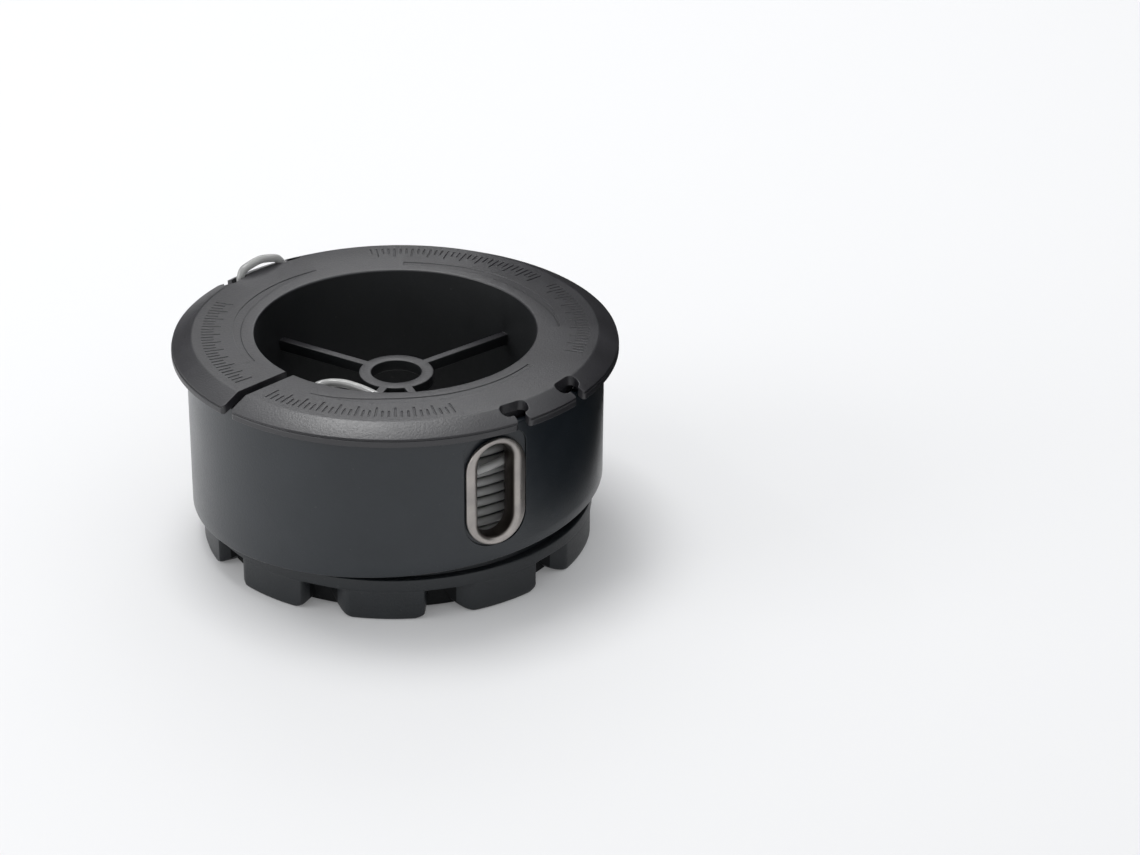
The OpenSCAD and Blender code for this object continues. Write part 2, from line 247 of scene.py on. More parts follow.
# Single tones
DUST_TONE = (0.07, 0.07, 0.07)
STEEL_STREAK_TONE = (0.48, 0.455, 0.43)
# Painted shade: the dark tone of the eyelet's barrel
BARREL_SHADE_TONE = (0.09, 0.075, 0.065)
GLOW_TONE = (0.96, 0.965, 0.97)
WORLD_TONE = (0.97, 0.985, 1.0)
FLAG_TONE = (0.01, 0.01, 0.01)

# Share of transmission in the line
LINE_CLEAR = 0.3
# The duller finish in the bore and between the teeth, whose darker tones are painted shade:
# its roughness, and its grain in metres
DULL_ROUGH = (0.5, 0.6)
DULL_GRAIN = 0.00003
# Where the duller finish and its painted shade go: upright faces within these radii and below
# these heights
BORE_WALL_R = BORE_R + 0.05
BORE_WALL_TOP = REEL_H - 0.4
RECESS_R = SKIRT_WALL_R + 1.5
RECESS_TOP = TOOTH_H + 0.1

# The camera, as fitted to the photograph: pitch and roll in degrees, and how far aside, above and
# away from the camera the flange's middle lies, in millimetres
VIEW_PITCH = 27.33
VIEW_ROLL = 0.60
VIEW_ASIDE = -33.36
VIEW_ABOVE = 18.96
VIEW_AWAY = 631.2
# Its focal length and the photograph's width in pixels, and its sensor's width in millimetres
FOCAL_PIXELS = 3300.0
FRAME_PIXELS = 1140.0
SENSOR = 36.0

# The floor's half width in metres, and the share of its colour that is its own glow
FLOOR_REACH = 6.0
FLOOR_GLOW = 0.12
# The world's strength as light, and as a background
WORLD_LIGHT = 0.66
WORLD_SEEN = 0.93
# Lamps: name, place, target and size in metres, power in watts
LAMPS = (("overhead", (-0.15, 0.2, 1.0), (0, 0, 0), (0.45, 0.42), 5.3),
         ("behind", (0.0, 0.95, 0.62), (0, 0, 0.03), (0.9, 0.4), 2.1),
         ("left", (-0.9, -0.3, 0.35), (0, 0, 0.02), (0.6, 0.6), 3.2))
# Black cards: name, azimuth, then width, distance, foot and top in metres
FLAGS = (("flag_right", 33, 0.15, 0.07, 0.0, 0.1),
         ("flag_front", 3, 0.1, 0.056, 0.0, 0.045),
         ("flag_back", 115, 0.5, 0.5, 0.01, 0.33))


# ---------------------------------------------------------------- mesh helpers

def around(az, r, z):
    """The point at an azimuth, a radius and a height."""
    a = math.radians(az)
    return Vector((r * math.cos(a), r * math.sin(a), z))


def rounded(corners, steps=5):
    """A polygon from (x, y, radius) corners, with an arc of that radius at each."""
    points = []
    n = len(corners)
    for i, (x, y, radius) in enumerate(corners):
        here = Vector((x, y))
        before = (Vector(corners[i - 1][:2]) - here).normalized()
        after = (Vector(corners[(i + 1) % n][:2]) - here).normalized()
        if radius <= 0:
            points.append(here)
            continue
        half = before.angle(after) / 2
        reach = radius / math.tan(half)
        start = here + before * reach
        end = here + after * reach
        centre = here + (before + after).normalized() * radius / math.sin(half)
        sweep = (start - centre).angle_signed(end - centre)
        for k in range(steps + 1):
            spoke = start - centre
            spoke.rotate(Matrix.Rotation(-sweep * k / steps, 2))
            points.append(centre + spoke)
    return points


def stadium(w, h, steps=24):
    """The outline of an upright slot with round ends, from its right side counter-clockwise."""
    straight = 12
    r = w / 2
    points = []
    for end in (1, -1):
        for k in range(steps + 1):
            a = math.pi * k / steps + (0 if end > 0 else math.pi)
            points.append(Vector((r * math.cos(a), end * (h / 2 - r) + r * math.sin(a))))
    out = []
    for i, p in enumerate(points):
        out.append(p)
        q = points[(i + 1) % len(points)]
        if (q - p).length > h / 4:
            out += [p.lerp(q, k / straight) for k in range(1, straight)]
    return out


def new_mesh(name, verts, faces):
    """An object from vertices in millimetres, its faces turned outwards."""
    mesh = bpy.data.meshes.new(name)
    mesh.from_pydata([tuple(v) for v in verts], [], faces)
    bm = bmesh.new()
    bm.from_mesh(mesh)
    bmesh.ops.recalc_face_normals(bm, faces=bm.faces)
    bm.to_mesh(mesh)
    bm.free()
    obj = bpy.data.objects.new(name, mesh)
    bpy.context.scene.collection.objects.link(obj)
    return obj


def rings(name, loops, closed=False):
    """Skins a row of equal loops. A closed row joins its last loop to its first, an open row is
    capped at both ends."""
    n = len(loops[0])
    verts = [v for loop in loops for v in loop]
    faces = []
    rows = len(loops) if closed else len(loops) - 1
    for i in range(rows):
        a, b = i * n, (i + 1) % len(loops) * n
        faces += [(a + k, a + (k + 1) % n, b + (k + 1) % n, b + k) for k in range(n)]
    if not closed:
        faces += [tuple(range(n)), tuple((len(loops) - 1) * n + k for k in range(n))]
    return new_mesh(name, verts, faces)


def revolve(name, profile, steps=360):
    """A closed (radius, height) profile turned once round the axis."""
    return rings(name, [[around(360 * i / steps, p[0], p[1]) for p in profile]
                        for i in range(steps)], closed=True)


def outward_prism(name, outline, az, z, r_in, r_out):
    """A flat (sideways, up) outline, drawn out from one radius to another at an azimuth."""
    turn = Matrix.Rotation(math.radians(az), 4, "Z")
    return rings(name, [[turn @ Vector((r, p[0], z + p[1])) for p in outline]
                        for r in (r_in, r_out)])


def upright_prism(name, outline, z_low, z_high):
    """A flat (x, y) outline, drawn up from one height to another."""
    return rings(name, [[Vector((p[0], p[1], z)) for p in outline] for z in (z_low, z_high)])


def circle(r, steps=48):
    """A flat circle of points, counter-clockwise."""
    return [Vector((r * math.cos(2 * math.pi * k / steps),
                    r * math.sin(2 * math.pi * k / steps))) for k in range(steps)]


def arc(x, y, radius, start, end, steps=10):
    """Points along an arc, from one angle in degrees to another."""
    points = []
    for k in range(steps + 1):
        a = math.radians(start + (end - start) * k / steps)
        points.append(Vector((x + radius * math.cos(a), y + radius * math.sin(a))))
    return points


def smooth_step(x):
    """A soft step from 0 to 1 as x goes from 0 to 1."""
    x = min(1.0, max(0.0, x))
    return x * x * (3 - 2 * x)


def plan(outline, az):
    """Turns a flat (outwards, sideways) outline to an azimuth."""
    turn = Matrix.Rotation(math.radians(az), 2)
    return [turn @ Vector(p[:2]) for p in outline]


def merge(objects):
    """One object from several that don't meet."""
    bm = bmesh.new()
    for o in objects:
        bm.from_mesh(o.data)
    bm.to_mesh(objects[0].data)
    bm.free()
    for o in objects[1:]:
        bpy.data.objects.remove(o)
    return objects[0]


def boolean(obj, tools, how):
    """Applies a boolean with several tool objects that don't meet each other."""
    tool = merge(tools)
    m = obj.modifiers.new("boolean", "BOOLEAN")
    m.operation = how
    m.solver = "EXACT"
    m.object = tool
    bpy.context.view_layer.update()
    made = obj.evaluated_get(bpy.context.evaluated_depsgraph_get())
    mesh = bpy.data.meshes.new_from_object(made)
    obj.modifiers.clear()
    obj.data = mesh
    bpy.data.objects.remove(tool)
    return obj


def settle(obj, body, node, material, sharp=32.0):
    """Scales a piece to metres, smooths it, and puts it on its body in its node's place."""
    obj.data.transform(Matrix.Scale(MM, 4))
    obj.data.shade_smooth()
    obj.data.set_sharp_from_angle(angle=math.radians(sharp))
    obj.data.materials.clear()
    obj.data.materials.append(material)
    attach(obj, body)
    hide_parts(node)
    return obj


def shade_deep_faces(obj, reach, top, material):
    """Gives upright faces inside a radius and under a height a duller finish and painted shade."""
    obj.data.materials.append(material)
    for face in obj.data.polygons:
        upright = abs(face.normal.z) < 0.5
        if upright and face.center.xy.length < reach * MM and face.center.z < top * MM:
            face.material_index = 1


# ---------------------------------------------------------------- materials

class Shader:
    """A material's nodes, with short ways to add and join them."""

    def __init__(self, name):
        self.material = bpy.data.materials.new(name)
        self.material.use_nodes = True
        self.tree = self.material.node_tree
        self.bsdf = self.tree.nodes["Principled BSDF"]
        self.place = self.add("ShaderNodeTexCoord").outputs["Object"]

    def add(self, kind, **values):
        """A new node of a kind, with its own settings."""
        node = self.tree.nodes.new(kind)
        for key, value in values.items():
            setattr(node, key, value)
        return node

    def join(self, out, socket):
        """Links an output to an input."""
        self.tree.links.new(out, socket)

    def noise(self, scale, detail=3.0, rough=0.55, stretch=(1, 1, 1)):
        """Noise from 0 to 1, with so many cells to a metre."""
        mapping = self.add("ShaderNodeMapping")
        mapping.inputs["Scale"].default_value = stretch
        self.join(self.place, mapping.inputs["Vector"])
        n = self.add("ShaderNodeTexNoise")
        n.inputs["Scale"].default_value = scale
        n.inputs["Detail"].default_value = detail
        n.inputs["Roughness"].default_value = rough
        self.join(mapping.outputs["Vector"], n.inputs["Vector"])
        return n.outputs["Fac"]

    def ramp(self, value, low, high, out_low, out_high):
        """Maps the span from low to high onto another one, and clamps to it."""
        m = self.add("ShaderNodeMapRange")
        m.inputs["From Min"].default_value = low
        m.inputs["From Max"].default_value = high
        m.inputs["To Min"].default_value = out_low
        m.inputs["To Max"].default_value = out_high
        self.join(value, m.inputs["Value"])
        return m.outputs["Result"]

    def radius(self):
        """The distance from the reel's axis, in metres."""
        flat = self.add("ShaderNodeVectorMath", operation="MULTIPLY")
        flat.inputs[1].default_value = (1, 1, 0)
        self.join(self.place, flat.inputs[0])
        length = self.add("ShaderNodeVectorMath", operation="LENGTH")
        self.join(flat.outputs["Vector"], length.inputs[0])
        return length.outputs["Value"]

    def blend(self, fac, a, b):
        """Mixes two colours, each a socket or a plain (red, green, blue)."""
        m = self.add("ShaderNodeMix", data_type="RGBA")
        self.join(fac, m.inputs["Factor"])
        for socket, colour in (("A", a), ("B", b)):
            target = [s for s in m.inputs if s.name == socket and s.type == "RGBA"][0]
            is_socket = hasattr(colour, "is_linked")
            if is_socket:
                self.join(colour, target)
            else:
                target.default_value = (*colour, 1)
        return [s for s in m.outputs if s.type == "RGBA"][0]

    def sum(self, a, b, share=1.0):
        """The first value plus a share of the second."""
        m = self.add("ShaderNodeMath", operation="MULTIPLY_ADD")
        self.join(b, m.inputs[0])
        m.inputs[1].default_value = share
        self.join(a, m.inputs[2])
        return m.outputs[0]

    def bump(self, height, distance, strength, bevel=0.0):
        """Gives the surface a relief, over edges that look rounded if a bevel is given."""
        b = self.add("ShaderNodeBump")
        b.inputs["Distance"].default_value = distance
        b.inputs["Strength"].default_value = strength
        self.join(height, b.inputs["Height"])
        if bevel > 0:
            e = self.add("ShaderNodeBevel", samples=6)
            e.inputs["Radius"].default_value = bevel
            self.join(e.outputs["Normal"], b.inputs["Normal"])
        self.join(b.outputs["Normal"], self.bsdf.inputs["Normal"])


def plastic(name, tones, gloss, rough=(0.34, 0.46), grain=0.00006, coat=0.0):
    """Black moulded plastic: fine spark-eroded grain, a clouded tone, and a little dust."""
    s = Shader(name)
    cloud = s.noise(scale=70.0, detail=4.0, rough=0.6)
    fine = s.noise(scale=2300.0, detail=2.0, rough=0.5)
    tone = s.blend(s.ramp(cloud, 0.35, 0.7, 0, 1), *tones)
    dust = s.ramp(s.noise(scale=1100.0, detail=2.0, rough=0.7), 0.7, 0.78, 0, 0.3)
    s.join(s.blend(dust, tone, DUST_TONE), s.bsdf.inputs["Base Color"])
    s.join(s.ramp(s.sum(cloud, fine, 0.6), 0.55, 1.05, *rough), s.bsdf.inputs["Roughness"])
    s.bsdf.inputs["Specular IOR Level"].default_value = gloss
    s.bsdf.inputs["Coat Weight"].default_value = coat
    s.bsdf.inputs["Coat Roughness"].default_value = 0.32
    s.bump(s.sum(fine, s.noise(scale=5200.0), 0.6), grain, strength=0.5, bevel=0.00022)
    return s.material


def nylon(name, tones):
    """Extruded nylon line: smooth, milky and a little clear, with faint scuffs."""
    s = Shader(name)
    cloud = s.noise(scale=110.0, detail=3.0, rough=0.5)
    s.join(s.blend(s.ramp(cloud, 0.35, 0.65, 0, 1), *tones), s.bsdf.inputs["Base Color"])
    scuffs = s.noise(scale=420.0, detail=3.0)
    s.join(s.ramp(scuffs, 0.4, 0.7, 0.1, 0.24), s.bsdf.inputs["Roughness"])
    s.bsdf.inputs["IOR"].default_value = 1.53
    s.bsdf.inputs["Transmission Weight"].default_value = LINE_CLEAR
    s.bsdf.inputs["Subsurface Weight"].default_value = 0.15
    s.bsdf.inputs["Subsurface Radius"].default_value = (0.001, 0.001, 0.001)
    s.bump(s.noise(scale=260.0, detail=2.0), 0.00004, strength=0.35)
    return s.material


def steel(name):
    """Satin steel strip, pressed: faint draw marks along its height and a warm cast. The barrel,
    which lies inside the face's radius, has painted shade: a dark tone."""
    s = Shader(name)
    streak = s.noise(scale=900.0, detail=4.0, rough=0.6, stretch=(1, 1, 0.06))
    spots = s.noise(scale=260.0, detail=4.0, rough=0.65)
    tint = s.blend(s.ramp(spots, 0.35, 0.7, 0, 1), *STEEL_TONES)
    face = s.blend(s.ramp(streak, 0.5, 0.8, 0, 0.5), tint, STEEL_STREAK_TONE)
    # Painted shade: inside the guard's outer radius the steel turns to a dark tone
    barrel = s.ramp(s.radius(), (GUARD_R - 0.5) * MM, (GUARD_R + 0.1) * MM, 1, 0)
    s.join(s.blend(barrel, face, BARREL_SHADE_TONE), s.bsdf.inputs["Base Color"])
    s.bsdf.inputs["Metallic"].default_value = 1.0
    s.join(s.ramp(s.sum(streak, spots, 0.5), 0.5, 1.0, 0.26, 0.46), s.bsdf.inputs["Roughness"])
    s.bump(s.sum(streak, spots, 0.8), 0.00002, strength=0.5)
    return s.material


# ---------------------------------------------------------------- pieces

def notch_outline():
    """One notch in plan, as (outwards, sideways): an oblong hole with a throat to the rim."""
    r = NOTCH_W / 2
    t = THROAT_W / 2
    near = NOTCH_PAST - r
    far = near - (NOTCH_L - NOTCH_W)
    corner = 0.12
    mouth = FLANGE_R - THROAT_ROUND
    points = [Vector((NOTCH_R + r + corner, t))]
    points += arc(NOTCH_R, near, r, 5, 180, 20)
    points += arc(NOTCH_R, far, r, 180, 360, 20)
    points += [Vector((NOTCH_R + r, -t - corner)), Vector((NOTCH_R + r + corner, -t))]
    points += arc(mouth, -t - THROAT_ROUND, THROAT_ROUND, 90, 0)
    points += [Vector((FLANGE_R + PAST, -t - THROAT_ROUND)),
               Vector((FLANGE_R + PAST, t + THROAT_ROUND))]
    points += arc(mouth, t + THROAT_ROUND, THROAT_ROUND, 0, -90)
    return points


def slot_outline():
    """The anchor slot in plan, as (outwards, sideways): straight sides, rounded at the rim."""
    half = SLOT_W / 2
    mouth = FLANGE_R - SLOT_ROUND
    points = [Vector((BORE_R - PAST, half)), Vector((BORE_R - PAST, -half))]
    points += arc(mouth, -half - SLOT_ROUND, SLOT_ROUND, 90, 0)
    points += [Vector((FLANGE_R + PAST, -half - SLOT_ROUND)),
               Vector((FLANGE_R + PAST, half + SLOT_ROUND))]
    points += arc(mouth, half + SLOT_ROUND, SLOT_ROUND, 0, -90)
    return points


def crescent(az_start, steps=60):
    """A direction mark in plan: a shallow band that widens inwards, then ends blunt."""
    inner, outer = [], []
    for k in range(steps + 1):
        t = k / steps
        az = az_start + CRESCENT_SWEEP * t
        bend = smooth_step((t - 0.5) / 0.4)
        width = smooth_step(t / 0.45 + 0.12)
        outer.append(around(az, CRESCENT_OUT - CRESCENT_BEND * bend, 0).to_2d())
        inner.append(around(az, CRESCENT_IN - CRESCENT_WIDTH * width, 0).to_2d())
    return outer + inner[::-1]


def reel_profile():
    """The hub and its flange in section."""
    web = REEL_H - FLANGE_T
    rim_top = REEL_H - BEVEL_DROP
    rim_foot = rim_top - FLANGE_T + RIM_THINNER
    groove_r = FLANGE_R - GROOVE_DEPTH
    return rounded([
        (BORE_R, HUB_FOOT, EDGE), (SPIGOT_R, HUB_FOOT, EDGE), (SPIGOT_R, BASE_TOP, 0),
        (HUB_R, BASE_TOP, 0), (HUB_R, web, EDGE), (LIP_IN, web, EDGE),
        (LIP_IN, web - LIP_H, EDGE), (LIP_R, web - LIP_H, EDGE), (LIP_R, web, EDGE),
        (FLANGE_R - BEVEL_W, web, 0), (FLANGE_R - 0.5, rim_foot, 0.1), (FLANGE_R, rim_foot, 0.15),
        (FLANGE_R, rim_top - GROOVE_FOOT, 0.1), (groove_r, rim_top - GROOVE_LOW, 0),
        (groove_r, rim_top - GROOVE_TOP, 0), (FLANGE_R, rim_top, 0.08),
        (FLANGE_R - BEVEL_W, REEL_H, 1.2), (BORE_R, REEL_H, 0.35)])


def spider_ring():
    """The ring in the middle of the bore."""
    foot = SPIDER_TOP - SPIDER_T
    return revolve("ring", rounded([
        (ARBOR_R, foot, 0.15), (SPIDER_R, foot, 0.15), (SPIDER_R, SPIDER_TOP, 0.15),
        (ARBOR_R, SPIDER_TOP, 0.15)], 3), 96)


def spider_ribs():
    """The ribs from the ring to the hub's wall."""
    half = RIB_T / 2
    section = rounded([(-half, -SPIDER_T, 0.1), (half, -SPIDER_T, 0.1), (half, 0, 0.15),
                       (-half, 0, 0.15)], 3)
    return [outward_prism("rib", section, az, SPIDER_TOP, SPIDER_R - INTO_RING, BORE_R + INTO_HUB)
            for az in RIB_AZIMUTHS]


def hole_collars():
    """The raised rings round the holes in the bore's wall."""
    return [outward_prism("collar", circle(HOLE_COLLAR_D / 2), az, HOLE_Z,
                          BORE_R - HOLE_COLLAR_H, BORE_R + INTO_HUB) for az in HOLE_AZIMUTHS]


def reel_cuts():
    """The line's holes, the anchor slot and the four parking notches."""
    deep = REEL_H - FLANGE_T - BEVEL_DROP - LIP_H - 0.5
    top = REEL_H + PAST
    cuts = [outward_prism("hole", circle(HOLE_D / 2), az, HOLE_Z, BORE_R - 3 * PAST, HUB_R + PAST)
            for az in HOLE_AZIMUTHS]
    cuts.append(upright_prism("slot", plan(slot_outline(), SLOT_AZ), deep, top))
    for side in (0, 180):
        for s in (-1, 1):
            az = NOTCH_AZ + side + s * NOTCH_SPREAD / 2
            cuts.append(upright_prism("notch", plan(notch_outline(), az), deep, top))
    return cuts


def reel():
    """The hub, its flange and the spider, as one moulding."""
    body = revolve("reel", reel_profile(), 384)
    boolean(body, spider_ribs(), "UNION")
    boolean(body, [spider_ring()], "UNION")
    boolean(body, hole_collars(), "UNION")
    return boolean(body, reel_cuts(), "DIFFERENCE")


def engrave(body):
    """Sinks the crescents and plain scale marks into the flange's face."""
    face = REEL_H - MARK_DEPTH
    top = REEL_H + PAST
    marks = [upright_prism("crescent", crescent(az), face, top) for az in CRESCENT_AZIMUTHS]
    half = SCALE_LINE / 2
    for start, end in SCALE_ARCS:
        for i in range(int((end - start) / SCALE_STEP) + 1):
            r_in = SCALE_IN if i % SCALE_LONG_EVERY == 0 else SCALE_OUT - SCALE_SHORT
            line = [(r_in, -half), (SCALE_OUT, -half), (SCALE_OUT, half), (r_in, half)]
            marks.append(upright_prism("mark", plan(line, start + i * SCALE_STEP), face, top))
    return boolean(body, marks, "DIFFERENCE")


def tooth_azimuths():
    """Where the skirt is cut into sections: all along each tooth and its ramp, closest at its steep
    flank, and sparsest between the teeth."""
    half = math.degrees(TOOTH_W / 2 / TOOTH_R)
    clear = 0.8
    spots = []
    for i in range(TEETH):
        middle = TOOTH_AZ + i * 360 / TEETH
        spots += [middle + k * half / 30 for k in range(-30, 31)]
        spots += [middle + half + k * 0.14 for k in range(-10, 11)]
        spots += [middle - half + k * 0.46 for k in range(-10, 11)]
        spots += [middle + half + clear + k * (TOOTH_PITCH - 2 * half - 2 * clear) / 10
                  for k in range(1, 10)]
    return sorted({round(az % 360, 4) for az in spots})


def skirt_section(az):
    """The skirt at an azimuth, as (radius, height), from its inside round its foot to the band.
    It swells at each tooth, steeply on one flank and as a ramp on the other."""
    wall_in = SKIRT_WALL_R - SKIRT_WALL
    off = (az - TOOTH_AZ + TOOTH_PITCH / 2) % TOOTH_PITCH - TOOTH_PITCH / 2
    inside = TOOTH_W / 2 - abs(math.radians(off)) * TOOTH_R
    flank, bend = (TOOTH_EDGE, TOOTH_ROUND) if off > 0 else (TOOTH_RAMP, TOOTH_LEAD)
    m = smooth_step(inside / flank + 0.5)
    curl = min(bend, max(0.0, bend - inside - flank / 2))
    foot = min(TOOTH_H - 1, bend - math.sqrt(bend ** 2 - curl ** 2))
    r_out = SKIRT_WALL_R + TOOTH_LEAST + (TOOTH_R - SKIRT_WALL_R - TOOTH_LEAST) * m
    swell = min(FOOT_ROUND, (r_out - SKIRT_WALL_R) * 0.4)
    points = [(wall_in, SKIRT_FOOT + 0.3), (wall_in + 0.1, SKIRT_FOOT + 0.1),
              (wall_in + 0.3, SKIRT_FOOT), (SKIRT_WALL_R - 0.05, SKIRT_FOOT),
              (SKIRT_WALL_R, foot), (r_out - swell, foot),
              (r_out - swell * 0.55, foot + swell * 0.07),
              (r_out - swell * 0.2, foot + swell * 0.3), (r_out, foot + swell)]
    for k in range(1, 9):
        points.append((r_out, foot + swell + (TOOTH_H - 0.25 - foot - swell) * k / 8))
    edge = 0.02 + 0.28 * (1 - m)
    points += [(r_out + (SKIRT_R - edge - r_out) * 0.15, TOOTH_H - 0.04),
               (SKIRT_R - edge, TOOTH_H), (SKIRT_R - edge * 0.3, TOOTH_H + edge * 0.3),
               (SKIRT_R, TOOTH_H + edge)]
    return points


def base_webs(under):
    """The webs from the collar to the skirt's wall, below the lower flange's underside."""
    half = WEB_T / 2
    section = rounded([(-half, WEB_FOOT, 0.2), (half, WEB_FOOT, 0.2),
                       (half, under + INTO_FLANGE, 0), (-half, under + INTO_FLANGE, 0)], 3)
    wall_in = SKIRT_WALL_R - SKIRT_WALL
    return [outward_prism("web", section, TOOTH_AZ + (i + 0.5) * 360 / WEBS, 0,
                          COLLAR_R - INTO_SKIRT, wall_in + INTO_SKIRT) for i in range(WEBS)]


def base():
    """The lower flange, its collar and its toothed skirt."""
    under = BASE_TOP - BASE_FLANGE_T
    fixed = rounded([
        (SKIRT_R, TOOTH_H + 0.4, 0), (SKIRT_R, under, EDGE), (BASE_FLANGE_R, under, 0.1),
        (BASE_FLANGE_R, BASE_TOP, 0.25), (COLLAR_IN, BASE_TOP, 0.2),
        (COLLAR_IN, COLLAR_FOOT, 0.2), (COLLAR_R, COLLAR_FOOT, 0.2), (COLLAR_R, under, EDGE),
        (SKIRT_WALL_R - SKIRT_WALL, under, 0)], 4)
    loops = [[around(az, p[0], p[1]) for p in list(fixed) + skirt_section(az)]
             for az in tooth_azimuths()]
    return boolean(rings("base", loops, closed=True), base_webs(under), "UNION")


def guard_outline(inset):
    """The guard's wall in plan, drawn in by an inset, with round ends at its window."""
    steps, turn = 300, 8
    start = WINDOW_AZ + WINDOW_ANGLE / 2
    sweep = 360 - WINDOW_ANGLE
    r_in, r_out = GUARD_R - GUARD_WALL + inset, GUARD_R - inset
    mid = (r_in + r_out) / 2
    half = (r_out - r_in) / 2
    trim = math.degrees((half + inset) / mid)
    points = []
    for k in range(steps + 1):
        points.append(around(start + trim + (sweep - 2 * trim) * k / steps, r_out, 0))
    for k in range(1, turn):
        a = math.pi * k / turn
        points.append(around(start + sweep - trim + math.degrees(half * math.sin(a) / mid),
                             mid + half * math.cos(a), 0))
    for k in range(steps + 1):
        points.append(around(start + sweep - trim - (sweep - 2 * trim) * k / steps, r_in, 0))
    for k in range(1, turn):
        a = math.pi * k / turn
        points.append(around(start + trim - math.degrees(half * math.sin(a) / mid),
                             mid - half * math.cos(a), 0))
    return points


def guard_wall():
    """The bent wall with rounded edges. Its lower edge lies on a slanted plane."""
    b = GUARD_EDGE
    levels = [(0, b), (0.03, b * 0.62), (0.12, b * 0.3), (0.24, b * 0.1), (0.4, 0)]
    levels += [(GUARD_H * k / 12, 0) for k in range(1, 12)]
    levels += [(GUARD_H - z, inset) for z, inset in levels[4::-1]]
    steepest = around(SLANT_AZ, math.tan(math.radians(GUARD_SLANT)), 0)
    loops = []
    for z, inset in levels:
        slant = steepest * (1 - z / GUARD_H)
        loops.append([p + Vector((0, 0, GUARD_FOOT + z + slant.dot(p)))
                      for p in guard_outline(inset)])
    return rings("guard", loops)


def eyelet_seat():
    """The shallow pocket round the eyelet, as a cutting tool."""
    half_w = EYELET_W / 2 + POCKET_GAP
    half_h = EYELET_H / 2 + 1.5 * POCKET_GAP
    corners = ((half_w, -half_h), (half_w, half_h), (-half_w, half_h), (-half_w, -half_h))
    pocket = rounded([(*c, r) for c, r in zip(corners, POCKET_ROUNDS)], 8)
    return rings("seat", [[around(EYELET_AZ + math.degrees(p[0] / GUARD_R), r,
                                  EYELET_Z + POCKET_GAP + p[1]) for p in pocket]
                          for r in (GUARD_R - EYELET_SINK, GUARD_R + 2 * PAST)])


def guard():
    """The C-shaped shroud with the eyelet's hole and seat."""
    barrel = stadium(OPENING_W + 2 * METAL_T + HOLE_GAP, OPENING_H + 2 * METAL_T + HOLE_GAP)
    hole = outward_prism("hole", barrel, EYELET_AZ, EYELET_Z, GUARD_R - 10 * PAST,
                         GUARD_R + 2 * PAST)
    body = guard_wall()
    boolean(body, [hole], "DIFFERENCE")
    return boolean(body, [eyelet_seat()], "DIFFERENCE")


def eyelet():
    """The pressed metal sleeve: a flat face, a rolled mouth, a barrel and a clinched edge."""
    front = GUARD_R + METAL_T - EYELET_SINK
    back = GUARD_R - EYELET_SINK + 0.02
    inner = GUARD_R - GUARD_WALL - 0.05
    bw = OPENING_W + 2 * METAL_T
    bh = OPENING_H + 2 * METAL_T
    # The sleeve in section, as (width, height, radius)
    section = [
        # The face's outer edge
        (EYELET_W - 0.1, EYELET_H - 0.1, back), (EYELET_W, EYELET_H, back + 0.15),
        (EYELET_W, EYELET_H, front - 0.35), (EYELET_W - 0.14, EYELET_H - 0.14, front - 0.12),
        (EYELET_W - 0.5, EYELET_H - 0.5, front),
        # The rolled mouth
        (OPENING_W + 2.2, OPENING_H + 1.9, front),
        (OPENING_W + 1.5, OPENING_H + 1.35, front - 0.05),
        (OPENING_W + 0.85, OPENING_H + 0.8, front - 0.22),
        (OPENING_W + 0.35, OPENING_H + 0.35, front - 0.52),
        (OPENING_W + 0.08, OPENING_H + 0.08, front - 0.95), (OPENING_W, OPENING_H, front - 1.4),
        # The barrel, in and back out
        (OPENING_W, OPENING_H, BARREL_IN + 0.2), (OPENING_W + 0.3, OPENING_H + 0.3, BARREL_IN),
        (bw - 0.3, bh - 0.3, BARREL_IN), (bw, bh, BARREL_IN + 0.2), (bw, bh, inner - 0.8),
        # The clinched edge behind the guard
        (bw + 0.9, bh + 0.25, inner - 0.75), (bw + 1.3, bh + 0.6, inner - 0.5),
        (bw + 1.35, bh + 0.65, inner - 0.1), (bw + 1.2, bh + 0.6, inner), (bw, bh, inner),
        (bw, bh, back)]
    loops = [[around(EYELET_AZ + math.degrees(p[0] / GUARD_R), r, EYELET_Z + p[1])
              for p in stadium(w, h)] for w, h, r in section]
    return rings("eyelet_metal", loops, closed=True)


def spline(points, steps):
    """A Catmull-Rom curve through the points."""
    out = []
    for i in range(len(points) - 1):
        a, b = Vector(points[max(i - 1, 0)]), Vector(points[i])
        c, d = Vector(points[i + 1]), Vector(points[min(i + 2, len(points) - 1)])
        for k in range(steps):
            t = k / steps
            out.append(b + t / 2 * ((c - a) + t * ((2 * a - 5 * b + 4 * c - d)
                                                   + t * (3 * b - 3 * c + d - a))))
    out.append(Vector(points[-1]))
    return out


def tube(name, path, diameter, sides=12):
    """A round line along the path, its ends cut square with a slightly rounded edge."""
    last = len(path) - 1
    heads = [(path[min(i + 1, last)] - path[max(i - 1, 0)]).normalized()
             for i in range(len(path))]
    side = Vector((0, 0, 1))
    loops = []
    for i, (p, t) in enumerate(zip(path, heads)):
        side = (side - side.dot(t) * t).normalized()
        other = t.cross(side)
        spots = [(0, 0)]
        if i == 0:
            spots = CUT_EDGE
        if i == last:
            spots = [(-shift, shrink) for shift, shrink in reversed(CUT_EDGE)]
        for shift, shrink in spots:
            r = diameter / 2 + shrink
            loops.append([p + t * shift
                          + r * (math.cos(2 * math.pi * k / sides) * side
                                 + math.sin(2 * math.pi * k / sides) * other)
                          for k in range(sides)])
    return rings(name, loops)


def sway(az, amount, seed):
    """A small smooth wander along the line. The seed picks its course."""
    cell = 47.0
    return amount * noise.noise(Vector((az / cell, seed, 0.37)))


